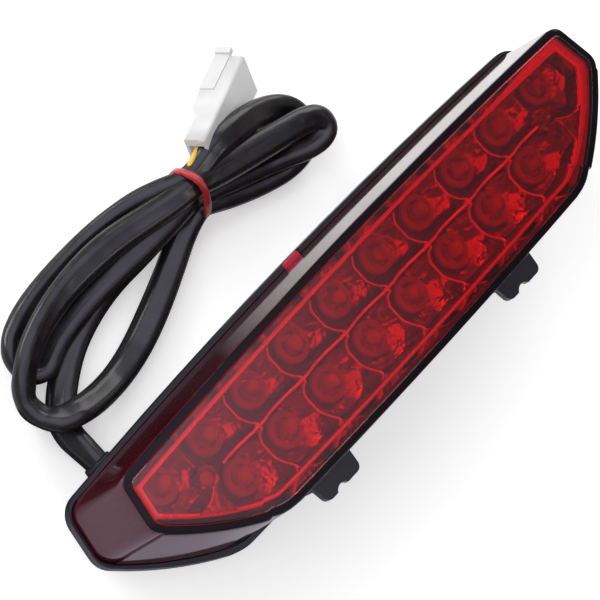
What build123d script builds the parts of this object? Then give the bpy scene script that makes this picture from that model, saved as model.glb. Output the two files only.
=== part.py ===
"""Motorcycle LED tail light with its lead tied in a hank.

The light lies on its back: +Z is the lens normal, +X runs along its length and +Y points to its
long upper edge. The origin is the middle of the footprint of the light without its lead.
"""
from math import pi, radians, tan
import os

from build123d import *

os.makedirs("parts", exist_ok=True)

# ---- driving dimensions, millimetres -------------------------------------------------------
FRONT_Z = 48.0  # crown of the lens above the table
LENS_Y = 1.95  # the lens's own middle line
BOW = 1.5  # the front drops by this much towards its ends
PLATEAU_STEP = 0.4  # the front plate stands proud of the shoulder round it
PLATEAU_INSET = 2.6
LENS_WALL = 2.2
PLATE_T = 2.6
RIM_TOP_Z = 17.0
RIM_T = 3.0
RIM_BOTTOM_Z = RIM_TOP_Z - RIM_T
GROOVE_Z = RIM_TOP_Z - 2.0
LENS_BASE_Z = GROOVE_Z + 0.8
TUB_FLOOR_Z = 2.0
TUB_WALL = 2.4
HOUSING_FLOOR_TOP_Z = TUB_FLOOR_Z + TUB_WALL

# half-outlines as (top corner, side corner, bottom corner) with the bows of the three edges
FRONT = dict(top=(101.8, 19.5), side=(105.0, 3.2), bottom=(72.2, -19.5), bows=(2.6, 1.7, 0.8), radii=(18, 5, 4))
BASE = dict(top=(105.0, 20.3), side=(108.3, 3.6), bottom=(73.0, -20.8), bows=(2.8, 1.9, 0.8), radii=(18, 6, 5.5))
RIM = dict(top=(105.8, 21.5), side=(109.2, 3.2), bottom=(73.8, -22.6), bows=(3.3, 2.0, 0.8), radii=(18, 7, 7.5))
TRAY = dict(top=(96.2, 16.8), side=(98.0, 3.2), bottom=(69.6, -17.0), bows=(2.6, 0, 0), radii=(12, 3, 2.5))
TUB_MOUTH = dict(top=(102.2, 17.4), side=(105.0, 3.4), bottom=(71.4, -17.8), bows=(2.8, 0, 0), radii=(17, 5, 5))
TUB_BACK = dict(top=(96.6, 12.4), side=(99.0, 1.8), bottom=(66.4, -12.9), bows=(2.2, 0, 0), radii=(15, 5, 5))
RIM_PEAK_Y = LENS_Y + RIM["top"][1] + RIM["bows"][0]

# reflector tray, LEDs and circuit board
COLUMNS = 8
PITCH = 19.7
ROW_MID_Y = LENS_Y + 2.3
ROW_HALF = 7.4
END_LED_X = 89.0
TRAY_TOP_Z = 42.0
FLANGE_INSET = 2.6
FLANGE_GAP = 0.6
BOARD_TOP_Z = 32.6
BOARD_T = 1.6
BOARD_BOTTOM_Z = BOARD_TOP_Z - BOARD_T
CUP_FLOOR_Z = 34.0
CUP_FLOOR_R = 6.2
CUP_MOUTH_R = 13.2
CELL_WALL = 0.7
CUP_BORDER = 3.6
COLLAR_R = 5.4
COLLAR_BORE_R = 3.4
COLLAR_TOP_Z = 35.2
COLLAR_CLEARANCE = 0.1
LED_FLANGE_R = 2.9
LED_FLANGE_T = 1.0
LED_R = 2.5
LED_H = 7.9
RIDGE_W = 2.4
RIDGE_TOP_Z = 39.6
SCREW_X = 79.3
BOARD_SCREW_X = 2 * PITCH
SCREW_SEAT_Z = 38.0
SCREW_SHANK_R = 1.3
SCREW_HOLE_R = 1.35
SCREW_HEAD_R = 2.3
SCREW_HEAD_T = 1.5
SCREW_TIP_Z = 22.0
POST_R = 3.3
POST_HOLE_BOTTOM_Z = 20.0
TRAY_POST_R = 3.4

# mounting bosses and their inserts
BOSSES = ((-62.0, 8.0), (62.0, 8.0), (0.0, -9.0))
BOSS_R = 7.0
BOSS_TOP_Z = 12.0
INSERT_R = 3.6
INSERT_BORE_R = 2.1
INSERT_H = 10.0

# ears on the lower edge
EAR_X = 44.0
EAR_W = 17.0
EAR_TIP_W = 15.0
EAR_CORNER_R = 2.2
EAR_TOP_Z = 30.5
EAR_T = 2.2
EAR_ARM_T = 2.4
EAR_ARM_W = 13.0
EAR_ROOT_Y = LENS_Y - 21.9
NOTCH_OFFSET = -1.0
NOTCH_R = 2.9
NOTCH_OUT = 1.6  # the notch's centre lies this far beyond the ear's edge

# vent in the housing's floor, and its rubber cap
VENT_PLACE = (30.0, -6.0)
VENT_R = 2.0
VENT_STEM_R = 1.95
VENT_CAP_R = 4.6
VENT_CAP_Z = 0.5

# lens tab in the rim
TAB_W = 7.0
TAB_NOTCH_W = 7.6
TAB_T = 1.2

# lead
CORD_R = 3.6
EXIT_X = -83.4
EXIT_Z = 6.8
EXIT_WALL_Y = 18.4
EXIT_BLOCK_W = 16.0
EXIT_BLOCK_D = 5.4
EXIT_BLOCK_BOTTOM_Z = 0.8
GROMMET_END_Y = 24.6
GROMMET_GROOVE_R = 4.6
GROMMET_FLANGE_R = 5.8
GROMMET_TIP_R = 4.3
GROMMET_FLANGE_T = 1.2
TIE_BAND_W = 3.2
TIE_BAND_T = 1.8
WIRE_R = 1.0
INNER_BEND_R = 3.6
WIRE_OFFSETS = ((-1.6, 2.1), (-0.2, 0.55), (1.2, -1.0))

# connector, in a frame of its own at the middle of its nose: x across its thickness, y across
# its width, z toward the mating half
CONNECTOR_NOSE = (33.6, 73.6, 8.6)
CONNECTOR_AXIS = (0.951, 0.256, -0.169)
CONNECTOR_ACROSS = (0.294, -0.606, 0.739)
CONNECTOR_T = 9.4
CONNECTOR_W = 14.5
CONNECTOR_FRONT_L = 21.4
CONNECTOR_SHOULDER_L = 2.8
CONNECTOR_REAR_L = 9.2
REAR_X = (-2.5, 4.3)
REAR_Y = (-6.6, 7.05)
CAVITY_X = 0.9
CAVITY_Y = (-2.475, 1.25, 4.975)
CAVITY_W = 2.9
CAVITY_T = 4.6
TERMINAL_W = 1.9
TERMINAL_T = 3.4
TERMINAL_Z = (-26.0, -8.0)
TERMINAL_COLLAR_Z = (-21.0, -19.0)
LATCH_W = 4.7
LATCH_L = 13.6
LATCH_T = 1.0
LATCH_SINK = 2.5
LATCH_CLEARANCE = 0.35
LATCH_NOSE_L = 2.6
LATCH_NOSE_H = 0.8
BUNDLE_CLEARANCE = 0.6


def mirrored_pair(x):
    """The same place on the left and on the right."""
    return (-x, x)


def bowed_edge(start, end, bow):
    """An arc from start to end that stands out to its left by bow, or a straight line."""
    if not bow:
        return Line(start, end)
    along = (Vector(*end) - Vector(*start)).normalized()
    middle = (Vector(*start) + Vector(*end)) / 2 + Vector(-along.Y, along.X) * bow
    return ThreePointArc(start, middle, end)


def hexagon(shape, z, inset=0.0):
    """Sketch of the light's six-sided outline at height z, pulled in by inset."""
    (tx, ty), (sx, sy), (bx, by) = shape["top"], shape["side"], shape["bottom"]
    corners = [(-tx, ty), (tx, ty), (sx, sy), (bx, by), (-bx, by), (-sx, sy)]
    corners = [(x, LENS_Y + y) for x, y in corners]
    top_bow, slant_bow, bottom_bow = shape["bows"]
    bottom_r, side_r, top_r = shape["radii"]
    with BuildSketch(Plane.XY.offset(z)) as sketch:
        with BuildLine():
            bows = (top_bow, 0, slant_bow, bottom_bow, slant_bow, 0)
            for start, end, bow in zip(corners, corners[1:] + corners[:1], bows):
                bowed_edge(start, end, bow)
        make_face()
        fillet(sketch.vertices().group_by(Axis.Y)[-1], top_r)
        by_x = sketch.vertices().group_by(Axis.X)
        fillet(by_x[0] + by_x[-1], side_r)
        fillet(sketch.vertices().group_by(Axis.Y)[0], bottom_r)
        if inset:
            offset(amount=-inset, kind=Kind.INTERSECTION)
    return sketch.sketch


def crown(drop, reach=140.0, half_width=60.0):
    """Everything below the bowed front, lowered by drop; its section is one long arc."""
    top = FRONT_Z - drop
    end = top - BOW * (reach / FRONT["side"][0]) ** 2
    with BuildPart() as block:
        with BuildSketch(Plane.XZ.offset(-half_width)):
            with BuildLine():
                ThreePointArc((-reach, end), (0, top), (reach, end))
                Polyline((reach, end), (reach, -1), (-reach, -1), (-reach, end))
            make_face()
        extrude(amount=2 * half_width)
    return block.part


def led_places(upper):
    """Centres of one row of LEDs: the upper row has one more in each end compartment."""
    y = ROW_MID_Y + (ROW_HALF if upper else -ROW_HALF)
    xs = [(i - (COLUMNS - 1) / 2) * PITCH for i in range(COLUMNS)]
    if upper:
        xs = [-END_LED_X, *xs, END_LED_X]
    return [(x, y) for x in xs]


def finish(part, name):
    """Labels a finished piece and writes it."""
    part.label = name
    export_step(part, f"parts/{name}.step")


# ---- lens: one red shell with a proud front plate and a locating tab -------------------------
with BuildPart() as lens_body:
    add(hexagon(BASE, LENS_BASE_Z))
    add(hexagon(FRONT, FRONT_Z))
    loft(ruled=True)
    add(crown(PLATEAU_STEP), mode=Mode.INTERSECT)

with BuildPart() as plateau:
    add(hexagon(FRONT, FRONT_Z - 2 * PLATE_T, inset=PLATEAU_INSET))
    extrude(amount=3 * PLATE_T)
    add(crown(0), mode=Mode.INTERSECT)

with BuildPart() as lens_core:
    add(hexagon(BASE, LENS_BASE_Z, inset=LENS_WALL))
    add(hexagon(FRONT, FRONT_Z, inset=LENS_WALL))
    loft(ruled=True)
    add(crown(PLATEAU_STEP + PLATE_T), mode=Mode.INTERSECT)

with BuildPart() as lens:
    add(lens_body.part)
    add(plateau.part)
    add(lens_core.part, mode=Mode.SUBTRACT)
    with BuildSketch(Plane.XY.offset(RIM_TOP_Z - TAB_T)):
        tab_y = LENS_Y + BASE["top"][1] + BASE["bows"][0] - LENS_WALL / 2
        with Locations((0, (tab_y + RIM_PEAK_Y) / 2)):
            Rectangle(TAB_W, RIM_PEAK_Y - tab_y)
    extrude(amount=TAB_T)
finish(lens.part, "lens")

# ---- side optics: fluted plates against the lens's end walls ---------------------------------
OPTIC_GAP = 0.3
OPTIC_T = 1.5
FLUTE_PITCH = 1.2
FLUTE_DEPTH = 0.35
OPTIC_LOW_Z = 19.0
OPTIC_HIGH_Z = 41.8
OPTIC_Y = (LENS_Y + 6.4, LENS_Y + 16.0)
with BuildPart() as optic_ring:
    add(hexagon(BASE, LENS_BASE_Z, inset=LENS_WALL + OPTIC_GAP))
    add(hexagon(FRONT, FRONT_Z, inset=LENS_WALL + OPTIC_GAP))
    loft(ruled=True)
with BuildPart() as optic_inside:
    add(hexagon(BASE, LENS_BASE_Z, inset=LENS_WALL + OPTIC_GAP + OPTIC_T))
    add(hexagon(FRONT, FRONT_Z, inset=LENS_WALL + OPTIC_GAP + OPTIC_T))
    loft(ruled=True)
for side, hand in ((-1, "left"), (1, "right")):
    with BuildPart() as optic:
        add(optic_ring.part)
        add(optic_inside.part, mode=Mode.SUBTRACT)
        with Locations((side * FRONT["side"][0], sum(OPTIC_Y) / 2, (OPTIC_LOW_Z + OPTIC_HIGH_Z) / 2)):
            Box(20, OPTIC_Y[1] - OPTIC_Y[0], OPTIC_HIGH_Z - OPTIC_LOW_Z, mode=Mode.INTERSECT)
    finish(optic.part, f"side_optic_{hand}")

# ---- housing: rim, back tub, posts, mounting bosses and ears in one moulding -----------------
with BuildPart() as rim_ring:
    add(hexagon(RIM, RIM_BOTTOM_Z))
    extrude(amount=RIM_T)

with BuildPart() as tub:
    add(hexagon(TUB_BACK, TUB_FLOOR_Z))
    add(hexagon(TUB_MOUTH, RIM_BOTTOM_Z))
    loft(ruled=True)

with BuildPart() as tub_hollow:
    add(hexagon(TUB_BACK, HOUSING_FLOOR_TOP_Z, inset=TUB_WALL))
    add(hexagon(TUB_MOUTH, RIM_TOP_Z, inset=TUB_WALL))
    loft(ruled=True)

with BuildPart() as groove:
    add(hexagon(BASE, GROOVE_Z, inset=-0.15))
    extrude(amount=RIM_T)
    add(hexagon(BASE, GROOVE_Z, inset=LENS_WALL + 0.15))
    extrude(amount=RIM_T, mode=Mode.SUBTRACT)

post_places = [(x, ROW_MID_Y) for x in (-SCREW_X, -BOARD_SCREW_X, BOARD_SCREW_X, SCREW_X)]
with BuildPart() as housing:
    add(rim_ring.part)
    add(tub.part)
    add(tub_hollow.part, mode=Mode.SUBTRACT)
    add(groove.part, mode=Mode.SUBTRACT)
    with BuildSketch(Plane.XY.offset(TUB_FLOOR_Z)):
        with Locations(*post_places):
            Circle(POST_R)
    extrude(amount=BOARD_BOTTOM_Z - TUB_FLOOR_Z)
    with BuildSketch(Plane.XY):
        with Locations(*BOSSES):
            Circle(BOSS_R)
    extrude(amount=BOSS_TOP_Z)
    with BuildSketch(Plane.XY.offset(EXIT_BLOCK_BOTTOM_Z)):
        with Locations((EXIT_X, EXIT_WALL_Y - EXIT_BLOCK_D / 2)):
            Rectangle(EXIT_BLOCK_W, EXIT_BLOCK_D)
    extrude(amount=RIM_BOTTOM_Z - EXIT_BLOCK_BOTTOM_Z)
    # two arms run forward beside the lens and turn outward as ears
    for x in mirrored_pair(EAR_X):
        with BuildSketch(Plane.XY.offset(RIM_BOTTOM_Z)):
            with Locations((x, EAR_ROOT_Y - EAR_ARM_T / 2)):
                Rectangle(EAR_ARM_W, EAR_ARM_T)
        extrude(amount=EAR_TOP_Z - RIM_BOTTOM_Z)
        with BuildSketch(Plane.XY.offset(EAR_TOP_Z - EAR_T)) as ear:
            with BuildLine():
                Polyline(
                    (x - EAR_W / 2, EAR_ROOT_Y),
                    (x + EAR_W / 2, EAR_ROOT_Y),
                    (x + EAR_TIP_W / 2, -RIM_PEAK_Y),
                    (x - EAR_TIP_W / 2, -RIM_PEAK_Y),
                    close=True,
                )
            make_face()
            fillet(ear.vertices().group_by(Axis.Y)[0], EAR_CORNER_R)
            with Locations((x + NOTCH_OFFSET, -RIM_PEAK_Y - NOTCH_OUT)):
                Circle(NOTCH_R, mode=Mode.SUBTRACT)
        extrude(amount=EAR_T)
    # holes: tray and board screws, inserts, cable entry, lens tab and the vent
    with BuildSketch(Plane.XY.offset(POST_HOLE_BOTTOM_Z)):
        with Locations(*post_places):
            Circle(SCREW_HOLE_R)
    extrude(amount=BOARD_TOP_Z, mode=Mode.SUBTRACT)
    with BuildSketch(Plane.XY):
        with Locations(*BOSSES):
            Circle(INSERT_R)
    extrude(amount=INSERT_H, mode=Mode.SUBTRACT)
    with BuildSketch(Plane.XZ.offset(-EXIT_WALL_Y - 1)):
        with Locations((EXIT_X, EXIT_Z)):
            Circle(GROMMET_GROOVE_R)
    extrude(amount=EXIT_BLOCK_D + 1, mode=Mode.SUBTRACT)
    with BuildSketch(Plane.XZ.offset(-EXIT_WALL_Y)):
        with Locations((EXIT_X, EXIT_Z)):
            Circle(GROMMET_FLANGE_R + 0.3)
    extrude(amount=-EXIT_BLOCK_D, mode=Mode.SUBTRACT)
    with BuildSketch(Plane.XY.offset(RIM_TOP_Z - TAB_T)):
        with Locations((0, RIM_PEAK_Y)):
            Rectangle(TAB_NOTCH_W, 5.2)
    extrude(amount=2 * TAB_T, mode=Mode.SUBTRACT)
    with BuildSketch(Plane.XY):
        with Locations(VENT_PLACE):
            Circle(VENT_R)
    extrude(amount=HOUSING_FLOOR_TOP_Z + 1, mode=Mode.SUBTRACT)
finish(housing.part, "housing")

with BuildPart() as vent_cap:
    with BuildSketch(Plane.XY.offset(VENT_CAP_Z)):
        with Locations(VENT_PLACE):
            Circle(VENT_CAP_R)
    extrude(amount=TUB_FLOOR_Z - VENT_CAP_Z)
    with BuildSketch(Plane.XY.offset(TUB_FLOOR_Z)):
        with Locations(VENT_PLACE):
            Circle(VENT_STEM_R)
    extrude(amount=TUB_WALL + 1)
finish(vent_cap.part, "vent_cap")

# ---- seal bead in the rim's groove, under the lens's edge ------------------------------------
with BuildPart() as lens_seal:
    add(hexagon(BASE, GROOVE_Z))
    extrude(amount=LENS_BASE_Z - GROOVE_Z)
    add(hexagon(BASE, GROOVE_Z, inset=LENS_WALL))
    extrude(amount=LENS_BASE_Z - GROOVE_Z, mode=Mode.SUBTRACT)
finish(lens_seal.part, "lens_seal")

# ---- reflector tray: flat border, parabolic cups, a straight ridge between the rows ----------
with BuildPart() as cup:
    with BuildSketch(Plane.XY.offset(CUP_FLOOR_Z)):
        Circle(CUP_FLOOR_R)
    with BuildSketch(Plane.XY.offset(TRAY_TOP_Z + PLATE_T)):
        Circle(CUP_MOUTH_R)
    loft(ruled=True)
    with Locations((0, 0, TRAY_TOP_Z)):
        Box(PITCH - CELL_WALL, 2 * ROW_HALF - CELL_WALL, 40.0, mode=Mode.INTERSECT)

with BuildPart() as cell_area:
    add(hexagon(TRAY, CUP_FLOOR_Z, inset=CUP_BORDER))
    extrude(amount=TRAY_TOP_Z)

with BuildPart() as cups:
    with Locations(*[(x, y, 0) for x, y in led_places(True) + led_places(False)]):
        add(cup.part)
    add(cell_area.part, mode=Mode.INTERSECT)

with BuildPart() as tray_flange:
    add(hexagon(FRONT, TRAY_TOP_Z, inset=FLANGE_INSET))
    extrude(amount=PLATE_T)
    add(crown(PLATEAU_STEP + PLATE_T + FLANGE_GAP), mode=Mode.INTERSECT)

with BuildPart() as reflector:
    add(hexagon(TRAY, BOARD_TOP_Z))
    extrude(amount=TRAY_TOP_Z - BOARD_TOP_Z)
    add(tray_flange.part)
    add(cups.part, mode=Mode.SUBTRACT)
    with BuildSketch(Plane.XY.offset(BOARD_TOP_Z)):
        with Locations((0, ROW_MID_Y)):
            Rectangle(2 * SCREW_X, RIDGE_W)
    extrude(amount=RIDGE_TOP_Z - BOARD_TOP_Z)
    with BuildSketch(Plane.XY.offset(BOARD_TOP_Z)):
        with Locations(*[(x, ROW_MID_Y) for x in mirrored_pair(SCREW_X)]):
            Circle(TRAY_POST_R)
    extrude(amount=SCREW_SEAT_Z - BOARD_TOP_Z)
    with BuildSketch(Plane.XY.offset(SCREW_SEAT_Z)):
        with Locations(*[(x, ROW_MID_Y) for x in mirrored_pair(SCREW_X)]):
            Circle(TRAY_POST_R)
    extrude(amount=TRAY_TOP_Z, mode=Mode.SUBTRACT)
    with BuildSketch(Plane.XY.offset(BOARD_TOP_Z)):
        with Locations(*[(x, ROW_MID_Y) for x in mirrored_pair(SCREW_X)]):
            Circle(SCREW_HOLE_R)
        with Locations(*led_places(True), *led_places(False)):
            Circle(COLLAR_R + COLLAR_CLEARANCE)
    extrude(amount=TRAY_TOP_Z, mode=Mode.SUBTRACT)
    with BuildSketch(Plane.XY.offset(BOARD_TOP_Z)):
        with Locations(*[(x, ROW_MID_Y) for x in mirrored_pair(BOARD_SCREW_X)]):
            Circle(SCREW_HEAD_R + 0.3)
    extrude(amount=SCREW_HEAD_T + 0.3, mode=Mode.SUBTRACT)
finish(reflector.part, "reflector")

# ---- LED collars and LEDs ----------------------------------------------------------------------
with BuildPart() as collars:
    with BuildSketch(Plane.XY.offset(BOARD_TOP_Z)):
        with Locations(*led_places(True), *led_places(False)):
            Circle(COLLAR_R)
            Circle(COLLAR_BORE_R, mode=Mode.SUBTRACT)
    extrude(amount=COLLAR_TOP_Z - BOARD_TOP_Z)
finish(collars.part, "led_collars")

with BuildPart() as led:
    with BuildSketch(Plane.XZ):
        with BuildLine():
            shoulder_z = BOARD_TOP_Z + LED_H - LED_R
            foot = Polyline(
                (0, BOARD_TOP_Z),
                (LED_FLANGE_R, BOARD_TOP_Z),
                (LED_FLANGE_R, BOARD_TOP_Z + LED_FLANGE_T),
                (LED_R, BOARD_TOP_Z + LED_FLANGE_T),
                (LED_R, shoulder_z),
            )
            dome = RadiusArc(foot @ 1, (0, BOARD_TOP_Z + LED_H), -LED_R)
            Line(dome @ 1, foot @ 0)
        make_face()
    revolve(axis=Axis.Z)
for upper, name in ((True, "upper_leds"), (False, "lower_leds")):
    with BuildPart() as leds:
        with Locations(*[(x, y, 0) for x, y in led_places(upper)]):
            add(led.part)
    finish(leds.part, name)

# ---- circuit board and what is soldered under it -----------------------------------------------
with BuildPart() as board:
    add(hexagon(TRAY, BOARD_BOTTOM_Z, inset=0.6))
    extrude(amount=BOARD_T)
    with BuildSketch(Plane.XY.offset(BOARD_BOTTOM_Z)):
        with Locations(*post_places):
            Circle(SCREW_HOLE_R)
    extrude(amount=BOARD_T, mode=Mode.SUBTRACT)
finish(board.part, "circuit_board")

RESISTOR_R = 1.1
RESISTOR_L = 6.0
resistor_z = BOARD_BOTTOM_Z - RESISTOR_R
with BuildPart() as resistors:
    for i in range(6):
        x = (i - 2.5) * PITCH
        with BuildSketch(Plane.XZ.offset(-(ROW_MID_Y + 11.0))):
            with Locations((x, resistor_z)):
                Circle(RESISTOR_R)
        extrude(amount=RESISTOR_L)
finish(resistors.part, "resistors")

with BuildPart() as driver_chips:
    for x in (-30.0, 30.0):
        with Locations((x, ROW_MID_Y - 9.0, BOARD_BOTTOM_Z)):
            Box(10.0, 4.6, 2.2, align=(Align.CENTER, Align.CENTER, Align.MAX))
finish(driver_chips.part, "driver_chips")

with BuildPart() as capacitor:
    with Locations((10.0, ROW_MID_Y - 8.0, BOARD_BOTTOM_Z)):
        Cylinder(3.2, 8.0, align=(Align.CENTER, Align.CENTER, Align.MAX))
    fillet(capacitor.edges().sort_by(Axis.Z)[0], 0.6)
finish(capacitor.part, "capacitor")

wire_ends = [(-66.0 + 4.0 * i, ROW_MID_Y + 8.0) for i in range(3)]
TERMINAL_L = 2.4
with BuildPart() as wire_terminals:
    with BuildSketch(Plane.XY.offset(BOARD_BOTTOM_Z - TERMINAL_L)):
        with Locations(*wire_ends):
            Circle(1.2)
    extrude(amount=TERMINAL_L)
finish(wire_terminals.part, "wire_terminals")

# ---- screws and inserts ------------------------------------------------------------------------


def screws(xs, seat_z):
    """Pan-head screws on the tray's middle line, with their heads on seat_z."""
    with BuildPart() as group:
        places = [(x, ROW_MID_Y) for x in xs]
        with BuildSketch(Plane.XY.offset(seat_z)):
            with Locations(*places):
                Circle(SCREW_HEAD_R)
        extrude(amount=SCREW_HEAD_T)
        fillet(group.faces().group_by(Axis.Z)[-1].edges(), 0.6)
        with BuildSketch(Plane.XY.offset(SCREW_TIP_Z)):
            with Locations(*places):
                Circle(SCREW_SHANK_R)
        extrude(amount=seat_z - SCREW_TIP_Z)
    return group.part


finish(screws(mirrored_pair(SCREW_X), SCREW_SEAT_Z), "reflector_screws")
finish(screws(mirrored_pair(BOARD_SCREW_X), BOARD_TOP_Z), "board_screws")

with BuildPart() as inserts:
    with BuildSketch(Plane.XY):
        with Locations(*BOSSES):
            Circle(INSERT_R)
            Circle(INSERT_BORE_R, mode=Mode.SUBTRACT)
    extrude(amount=INSERT_H)
finish(inserts.part, "mounting_inserts")

# ---- cable grommet -------------------------------------------------------------------------------
entry_back_y = EXIT_WALL_Y - EXIT_BLOCK_D
with BuildPart() as grommet:
    with BuildSketch(Plane.XY.offset(EXIT_Z)):
        with BuildLine():
            Polyline(
                (EXIT_X, entry_back_y),
                (EXIT_X + GROMMET_GROOVE_R, entry_back_y),
                (EXIT_X + GROMMET_GROOVE_R, EXIT_WALL_Y),
                (EXIT_X + GROMMET_FLANGE_R, EXIT_WALL_Y),
                (EXIT_X + GROMMET_FLANGE_R, EXIT_WALL_Y + GROMMET_FLANGE_T),
                (EXIT_X + GROMMET_TIP_R + 0.8, EXIT_WALL_Y + GROMMET_FLANGE_T),
                (EXIT_X + GROMMET_TIP_R, GROMMET_END_Y),
                (EXIT_X, GROMMET_END_Y),
                close=True,
            )
        make_face()
    revolve(axis=Axis((EXIT_X, 0, EXIT_Z), (0, 1, 0)))
    with BuildSketch(Plane.XZ.offset(-entry_back_y)):
        with Locations((EXIT_X, EXIT_Z)):
            with Locations(*WIRE_OFFSETS):
                Circle(WIRE_R + 0.05)
    extrude(amount=-(GROMMET_END_Y - entry_back_y), mode=Mode.SUBTRACT)
finish(grommet.part, "cable_grommet")


# ---- wires: three run from the lead through the grommet to the board ---------------------------


def bend_radii(points, largest):
    """Fillet radius at every inner corner: 0.45 of the shorter run over the half turn's tangent,
    and no more than the largest one asked for."""
    spots = [Vector(*p) for p in points]
    radii = []
    for before, corner, after in zip(spots, spots[1:], spots[2:]):
        turn = (corner - before).get_angle(after - corner)
        run = min((corner - before).length, (after - corner).length)
        radii.append(min(largest, 0.45 * run / tan(radians(turn / 2))))
    return radii


def tube(points, radius, name, largest=100.0):
    """Solid tube of straight runs and tangent arcs; prints its radii and its volume error."""
    radii = bend_radii(points, largest)
    with BuildPart() as run:
        with BuildLine() as path:
            line = FilletPolyline(*points, radius=radii)
        with BuildSketch(line ^ 0):
            Circle(radius)
        sweep(path=path.line)
    error = run.part.volume / (line.length * radius**2 * pi) - 1
    print(name, "length", round(line.length, 1), "radii", [round(r, 1) for r in radii],
          "volume error", round(error, 4))
    return run.part


COLOURS = ("yellow", "orange", "black")
for (dx, dz), (tx, ty), colour in zip(WIRE_OFFSETS, wire_ends, COLOURS):
    inner_route = [
        (EXIT_X + dx, GROMMET_END_Y, EXIT_Z + dz),
        (EXIT_X + dx, ROW_MID_Y + 4.9, EXIT_Z + dz),
        (tx, ty, 20.0),
        (tx, ty, BOARD_BOTTOM_Z - TERMINAL_L),
    ]
    finish(tube(inner_route, WIRE_R, f"inner_wire_{colour}", INNER_BEND_R), f"inner_wire_{colour}")

# ---- lead: a sleeve from the grommet into the hank ---------------------------------------------
LEAD_ROUTE = [
    (EXIT_X, GROMMET_END_Y, EXIT_Z),
    (EXIT_X, 31.0, EXIT_Z),
    (-82.6, 40.0, 3.9),
]
finish(tube(LEAD_ROUTE, CORD_R, "cord_lead"), "cord_lead")

# ---- hank: the outer shape of the folded and tied lead ------------------------------------------
LEFT_LOBE = [
    (-3.0, 64.5), (-14.0, 69.5), (-34.0, 72.8), (-50.0, 72.8), (-63.0, 71.5), (-74.0, 68.0),
    (-84.0, 60.5), (-91.0, 52.5), (-91.2, 43.0), (-86.5, 36.0), (-77.0, 33.8), (-66.0, 32.6),
    (-56.0, 32.8), (-46.0, 34.8), (-33.0, 39.0), (-20.0, 43.5), (-8.0, 46.5), (-1.0, 48.5),
]
RIGHT_LOBE = [
    (0.0, 63.0), (10.0, 66.0), (21.0, 66.5), (32.0, 65.5), (41.0, 62.0), (46.0, 56.0),
    (48.2, 48.0), (47.5, 41.0), (42.0, 38.0), (34.0, 38.5), (26.0, 38.5), (15.0, 41.0),
    (5.0, 45.0), (0.0, 48.5),
]
NECK_X = (-7.0, 2.0)
NECK_Y = (47.6, 64.0)
NECK_Z = (2.2, 18.6)
LOBE_H = 15.0

nose = Plane(origin=CONNECTOR_NOSE, x_dir=CONNECTOR_ACROSS, z_dir=CONNECTOR_AXIS)
CONNECTOR_L = CONNECTOR_FRONT_L + CONNECTOR_SHOULDER_L + CONNECTOR_REAR_L
with BuildPart() as connector_room:
    with BuildSketch(nose.offset(-CONNECTOR_L - BUNDLE_CLEARANCE)):
        Rectangle(CONNECTOR_T + 2 * BUNDLE_CLEARANCE, CONNECTOR_W + 2 * BUNDLE_CLEARANCE + 2 * LATCH_NOSE_H)
    extrude(amount=CONNECTOR_L + 2 * BUNDLE_CLEARANCE + LATCH_NOSE_L)

with BuildPart() as hank:
    for outline in (LEFT_LOBE, RIGHT_LOBE):
        with BuildSketch():
            with BuildLine():
                Spline(*outline, periodic=True)
            make_face()
        extrude(amount=LOBE_H)
    neck_centre = (sum(NECK_X) / 2, sum(NECK_Y) / 2, sum(NECK_Z) / 2)
    neck_size = (NECK_X[1] - NECK_X[0], NECK_Y[1] - NECK_Y[0], NECK_Z[1] - NECK_Z[0])
    with Locations((neck_centre[0], neck_centre[1], 0)):
        Box(neck_size[0], 40.0, 4 * LOBE_H, mode=Mode.SUBTRACT)
    with Locations(neck_centre):
        Box(neck_size[0], neck_size[1], neck_size[2])
    add(connector_room.part, mode=Mode.SUBTRACT)
print("hank solids", len(hank.part.solids()), "volume", round(hank.part.volume))
finish(hank.part, "cord_hank")

with BuildPart() as tie_band:
    with Locations(neck_centre):
        Box(TIE_BAND_W, neck_size[1] + 2 * TIE_BAND_T, neck_size[2] + 2 * TIE_BAND_T)
        Box(TIE_BAND_W, neck_size[1], neck_size[2], mode=Mode.SUBTRACT)
    add(connector_room.part, mode=Mode.SUBTRACT)
finish(tie_band.part, "tie_band")

# ---- connector -------------------------------------------------------------------------------
face_y = -CONNECTOR_W / 2
with BuildPart() as connector:
    with BuildSketch(nose):
        RectangleRounded(CONNECTOR_T, CONNECTOR_W, 0.9)
    extrude(amount=-CONNECTOR_FRONT_L)
    rear_centre = (sum(REAR_X) / 2, sum(REAR_Y) / 2)
    rear_size = (REAR_X[1] - REAR_X[0], REAR_Y[1] - REAR_Y[0])
    with BuildSketch(nose.offset(-CONNECTOR_FRONT_L)):
        RectangleRounded(CONNECTOR_T, CONNECTOR_W, 0.9)
    with BuildSketch(nose.offset(-CONNECTOR_FRONT_L - CONNECTOR_SHOULDER_L)):
        with Locations(rear_centre):
            RectangleRounded(*rear_size, 0.9)
    loft(ruled=True)
    with BuildSketch(nose.offset(-CONNECTOR_FRONT_L - CONNECTOR_SHOULDER_L)):
        with Locations(rear_centre):
            RectangleRounded(*rear_size, 0.9)
    extrude(amount=-CONNECTOR_REAR_L)
    with BuildSketch(nose):
        with Locations(*[(CAVITY_X, y) for y in CAVITY_Y]):
            Rectangle(CAVITY_T, CAVITY_W)
    extrude(amount=-CONNECTOR_L, mode=Mode.SUBTRACT)
    # the latch lies in a channel open to the nose and to two faces
    with BuildSketch(nose):
        with Locations((-CONNECTOR_T / 2, face_y)):
            Rectangle(
                2 * (LATCH_W + LATCH_CLEARANCE), 2 * LATCH_SINK,
            )
    extrude(amount=-(LATCH_L + LATCH_CLEARANCE), mode=Mode.SUBTRACT)
finish(connector.part, "connector_housing")

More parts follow.
